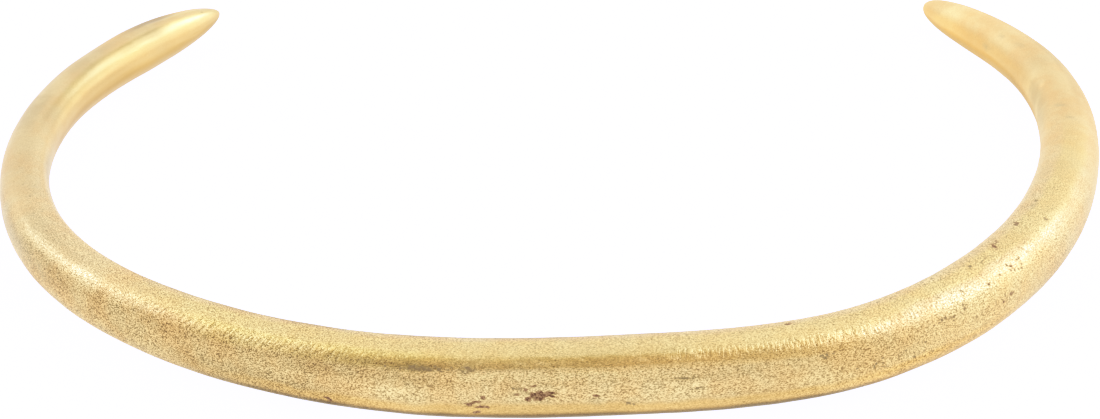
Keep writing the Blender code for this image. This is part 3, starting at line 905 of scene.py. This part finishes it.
# Gilding: pale matt gold, granular across the front, brown in its pits, with painted light and shade in zones
gild = {
    "pale": (0.715, 0.532, 0.276, 1.0),
    "deep": (0.690, 0.462, 0.222, 1.0),
    "lemon": (0.73, 0.535, 0.195, 1.0),
    "warm": (0.73, 0.455, 0.175, 1.0),
    "greyFilm": (0.44, 0.37, 0.215, 1.0),
    "darkBrown": (0.13, 0.062, 0.028, 1.0),
    "paleBrown": (0.40, 0.25, 0.14, 1.0),
    "speck": (0.30, 0.225, 0.115, 1.0),  # of the faintest marks
    "mottle": 2.4 * mm,  # size of the pale and deep patches
    "mottleNoise": (5.0, 0.62),  # detail and roughness
    "mottleDeep": (0.35, 0.68),  # the noise's values from pale to deep
    "cloud": 8.0 * mm,  # size of the clouds of film
    "cloudNoise": (2.0, 0.5),
    "cloudFilm": (0.42, 0.66),  # the noise's values from bare to filmed
    "cloudMost": 0.36,  # how much of the gilding a cloud hides at most
    "stainMottle": (0.30, 0.55),  # the mottle's values over which a stain comes up
    "grainWidth": 0.063 * mm,
    "grainNoise": (1.0, 0.8, 0.5),  # detail, roughness and distortion
    "grainHeight": 0.026 * mm,
    "grainContrast": 5.9,
    "grainRange": (0.42, 1.42),  # darkest and lightest that grain and strokes make it
    "smoothGrain": 0.15,  # share of the grain's height on smooth metal
    "strokeContrast": 0.52,
    "strokeHeight": 0.5,  # as a share of the grain's
    "pinholeEdge": (0.35, 0.8),  # shares of its depth over which the brown comes up
    "pinholeBrown": 0.55,
    "crumb": 0.14 * mm,  # size of the crumbs of brown
    "crumbNoise": (2.0, 0.6),
    "crumbPale": (0.38, 0.64),  # the noise's values from dark to pale brown
    "pitFray": 0.9,  # how far the crumbs break up a pit's edge
    "pitEdge": (0.34, 0.66),
    "fullBrown": (0.70, 0.84),  # marks fainter than these take the speck's colour
    "pitEarth": 0.7,  # how far a pit loses the look of metal
    "granularRoughness": 0.45,
    "roughnessSwing": 0.12,
    "pitRoughness": 0.3,
}


def attribute(tree, name, output="Fac"):
    return addNode(tree, "ShaderNodeAttribute", attribute_name=name).outputs[output]


def mixColour(tree, share, first, second):  # a Mix node takes its colours at inputs 6 and 7
    node = addNode(tree, "ShaderNodeMix", data_type="RGBA", clamp_factor=True)
    for socket, value in zip((node.inputs[0], node.inputs[6], node.inputs[7]), (share, first, second)):
        feed(tree, socket, value)
    return node.outputs[2]


def centred(tree, value):
    return calc(tree, "SUBTRACT", value, 0.5)


def gildingFinish():
    material = bpy.data.materials.new("gilding")
    material.use_nodes = True
    tree = material.node_tree
    shader = tree.nodes["Principled BSDF"]
    at = addNode(tree, "ShaderNodeTexCoord").outputs["Object"]
    coarse = attribute(tree, "coarse")
    stroked = attribute(tree, "stroked")
    fine = noise(tree, attribute(tree, "grainAt", "Vector"), 1.0, *gild["grainNoise"])
    patches = noise(tree, at, gild["mottle"], *gild["mottleNoise"])
    clouds = noise(tree, at, gild["cloud"], *gild["cloudNoise"])
    crest = strokeCrest(tree, attribute(tree, "strokeAt", "Vector"), strokes["size"])

    tone = mixColour(tree, fromTo(tree, patches, *gild["mottleDeep"]), gild["pale"], gild["deep"])
    tone = mixColour(tree, attribute(tree, "lemon"), tone, gild["lemon"])
    tone = mixColour(tree, attribute(tree, "warm"), tone, gild["warm"])
    smoothArms = calc(tree, "SUBTRACT", 1.0, attribute(tree, "granular"))
    filmed = product(tree, fromTo(tree, clouds, *gild["cloudFilm"]), smoothArms, gild["cloudMost"])
    stained = product(tree, attribute(tree, "stain"), fromTo(tree, patches, *gild["stainMottle"]))
    tone = mixColour(tree, calc(tree, "MAXIMUM", filmed, stained), tone, gild["greyFilm"])

    # Grain, strokes and the zones of painted light and shade lighten and darken it
    grainSwing = product(tree, centred(tree, fine), coarse, gild["grainContrast"])
    strokeSwing = product(tree, centred(tree, crest), stroked, gild["strokeContrast"])
    grained = held(tree, total(tree, 1.0, grainSwing, strokeSwing), *gild["grainRange"])
    tone = scaled(tree, tone, product(tree, grained, attribute(tree, "shade")))

    # Brown in the pinholes and pits
    pinholes = fromTo(tree, attribute(tree, "pinhole"), *gild["pinholeEdge"])
    pinholes = product(tree, pinholes, gild["pinholeBrown"])
    crumbs = noise(tree, at, gild["crumb"], *gild["crumbNoise"])
    frayed = total(tree, attribute(tree, "pit"), product(tree, centred(tree, crumbs), gild["pitFray"]))
    pitted = fromTo(tree, frayed, *gild["pitEdge"])
    brown = mixColour(tree, fromTo(tree, crumbs, *gild["crumbPale"]), gild["darkBrown"], gild["paleBrown"])
    thick = fromTo(tree, attribute(tree, "thick"), *gild["fullBrown"])
    brown = mixColour(tree, thick, gild["speck"], brown)
    tone = mixColour(tree, calc(tree, "MAXIMUM", pinholes, pitted), tone, brown)
    feed(tree, shader.inputs["Base Color"], tone)

    earth = product(tree, pitted, gild["pitEarth"])
    feed(tree, shader.inputs["Metallic"], calc(tree, "SUBTRACT", 1.0, earth))
    dull = attribute(tree, "dull")
    rougher = product(tree, coarse, calc(tree, "SUBTRACT", gild["granularRoughness"], dull))
    uneven = product(tree, centred(tree, patches), gild["roughnessSwing"])
    roughPits = product(tree, pitted, gild["pitRoughness"])
    feed(tree, shader.inputs["Roughness"], total(tree, dull, rougher, uneven, roughPits))

    bump = addNode(tree, "ShaderNodeBump")
    bump.inputs["Strength"].default_value = 1.0
    bump.inputs["Distance"].default_value = gild["grainHeight"]
    coarseGrain = product(tree, coarse, 1.0 - gild["smoothGrain"])
    grainHeight = product(tree, fine, total(tree, coarseGrain, gild["smoothGrain"]))
    strokeHeight = product(tree, crest, stroked, gild["strokeHeight"])
    feed(tree, bump.inputs["Height"], total(tree, grainHeight, strokeHeight))
    feed(tree, shader.inputs["Normal"], bump.outputs["Normal"])
    return material


# Pale floor, soft studio dome with a dim gap overhead and dim areas in front at both sides, and
# softboxes behind
studio = {
    "floorHalf": 3.0,
    "floorColour": (0.14, 0.14, 0.14, 1.0),
    "floorGlow": 1.35,
    "floorGlowColour": (1.0, 0.995, 0.98, 1.0),
    "domeFront": 1.16,
    "domeBack": 1.33,
    "domeTurn": (-0.3, 0.4),  # from front to back, as the direction's Y
}
dimAreas = (  # width: degrees from its middle where it is dimmest, and where it ends
    {"azimuth": -8.0, "elevation": 76.0, "width": (24.0, 46.0), "dimness": 0.38,
     "colour": (1.0, 0.88, 0.62, 1.0)},
    {"azimuth": -60.0, "elevation": 15.0, "width": (12.0, 44.0), "dimness": 0.24,
     "colour": (1.0, 0.97, 0.90, 1.0)},
    {"azimuth": 50.0, "elevation": 18.0, "width": (6.0, 32.0), "dimness": 0.12,
     "colour": (1.0, 0.97, 0.90, 1.0)},
)
softboxes = {
    "leftSoftbox": {"azimuth": -124.5, "elevation": 47.0, "distance": 0.9, "size": (0.17, 0.50),
                    "radiance": 6.0, "colour": (0.92, 1.0, 1.20)},
    "rightSoftbox": {"azimuth": 118.0, "elevation": 47.0, "distance": 0.9, "size": (0.58, 0.62),
                     "radiance": 2.9, "colour": (0.95, 1.0, 1.18)},
    "rightPanel": {"azimuth": 106.0, "elevation": 8.0, "distance": 1.0, "size": (0.80, 0.55),
                   "radiance": 1.15, "colour": (1.0, 1.0, 1.0)},
}


def direction(azimuth, elevation):  # azimuth 0 is towards the camera side, 90 is to the right
    flat = math.cos(math.radians(elevation))
    sideways = math.radians(azimuth)
    return Vector((flat * math.sin(sideways), -flat * math.cos(sideways), math.sin(math.radians(elevation))))


def addFloor():
    half = studio["floorHalf"]
    corners = [(-half, -half, 0.0), (half, -half, 0.0), (half, half, 0.0), (-half, half, 0.0)]
    mesh = bpy.data.meshes.new("floor")
    mesh.from_pydata(corners, [], [(0, 1, 2, 3)])
    material = bpy.data.materials.new("paleFloor")
    material.use_nodes = True
    shader = material.node_tree.nodes["Principled BSDF"]
    shader.inputs["Base Color"].default_value = studio["floorColour"]
    shader.inputs["Roughness"].default_value = 1.0
    shader.inputs["Specular IOR Level"].default_value = 0.0
    shader.inputs["Emission Color"].default_value = studio["floorGlowColour"]
    shader.inputs["Emission Strength"].default_value = studio["floorGlow"]
    mesh.materials.append(material)
    floor = bpy.data.objects.new("floor", mesh)
    bpy.context.scene.collection.objects.link(floor)


def addDome():
    world = bpy.data.worlds.new("studioDome")
    world.use_nodes = True
    tree = world.node_tree
    towards = addNode(tree, "ShaderNodeTexCoord").outputs["Generated"]
    backwards = parted(tree, towards)["Y"]
    level = fromTo(tree, backwards, *studio["domeTurn"], studio["domeFront"], studio["domeBack"])
    colour = (1.0, 1.0, 1.0, 1.0)
    for area in dimAreas:
        middle = direction(area["azimuth"], area["elevation"])
        nearness = calcVector(tree, "DOT_PRODUCT", towards, tuple(middle))
        inner, outer = (math.cos(math.radians(angle)) for angle in area["width"])
        inside = fromTo(tree, nearness, outer, inner)
        colour = mixColour(tree, inside, colour, area["colour"])
        level = product(tree, level, calc(tree, "SUBTRACT", 1.0, product(tree, inside, area["dimness"])))
    background = tree.nodes["Background"]
    feed(tree, background.inputs["Color"], colour)
    feed(tree, background.inputs["Strength"], level)
    bpy.context.scene.world = world


def addSoftbox(name, box):
    light = bpy.data.lights.new(name, "AREA")
    light.shape = "RECTANGLE"
    light.size, light.size_y = box["size"]
    light.color = box["colour"]
    light.energy = box["radiance"] * math.pi * box["size"][0] * box["size"][1]
    lamp = bpy.data.objects.new(name, light)
    lamp.location = direction(box["azimuth"], box["elevation"]) * box["distance"]
    lamp.rotation_euler = (-lamp.location).to_track_quat("-Z", "Y").to_euler()
    lamp.visible_camera = False
    bpy.context.scene.collection.objects.link(lamp)


# The camera's film keeps its colour in the middle tones and rolls off softly to white
film = {
    "white": 2.0,  # the light at the right end of the first curve
    "curve": (  # light, and how bright it shows
        (0.15, 0.125), (0.3, 0.285), (0.6, 0.57), (0.9, 0.79), (1.15, 0.92), (1.3, 0.965), (1.45, 0.992),
    ),
    "red": (  # how red it was, and how red it becomes; green stays as it is
        (0.50, 0.50), (0.82, 0.815), (0.91, 0.885), (0.965, 0.935), (0.99, 0.98),
    ),
    "blue": (
        (0.15, 0.15), (0.25, 0.25), (0.32, 0.33), (0.40, 0.50), (0.49, 0.70), (0.61, 0.86), (0.80, 0.94),
    ),
}


def setFilm():
    look = bpy.context.scene.view_settings
    look.view_transform = "Standard"
    look.use_curve_mapping = True
    mapping = look.curve_mapping
    mapping.white_level = (film["white"],) * 3
    red, _, blue, combined = mapping.curves
    for light, shown in film["curve"]:
        combined.points.new(light / film["white"], shown)
    for light, shown in film["red"]:
        red.points.new(light, shown)
    for light, shown in film["blue"]:
        blue.points.new(light, shown)
    mapping.update()


# The photograph's view, from in front and above
view = {
    "photoWidth": 1100,
    "focalPixels": 5060.0,
    "sensor": 36.0,  # mm, as Blender states lenses
    "distance": 320.0 * mm,
    "nearest": 1.0 * mm,
    "elevation": 29.0,
    "aim": (-0.14 * mm, 0.14 * mm, 0.0),
}


def addCamera():
    lens = bpy.data.cameras.new("photoView")
    lens.sensor_width = view["sensor"]
    lens.lens = view["sensor"] * view["focalPixels"] / view["photoWidth"]
    lens.clip_start = view["nearest"]
    camera = bpy.data.objects.new("photoView", lens)
    backwards = direction(0.0, view["elevation"])
    camera.location = Vector(view["aim"]) + backwards * view["distance"]
    camera.rotation_euler = (-backwards).to_track_quat("-Z", "Y").to_euler()
    bpy.context.scene.collection.objects.link(camera)
    bpy.context.scene.camera = camera


print("building the bar's skin")
bracelet, barLength = barSkin(gildingFinish())
print("finishing it by hand:", len(bracelet.data.vertices), "points")
handFinish(bracelet, barLength)
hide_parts("bracelet")
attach(bracelet, "root")

print("setting up the studio")
addFloor()
addDome()
for name, box in softboxes.items():
    addSoftbox(name, box)
addCamera()
setFilm()
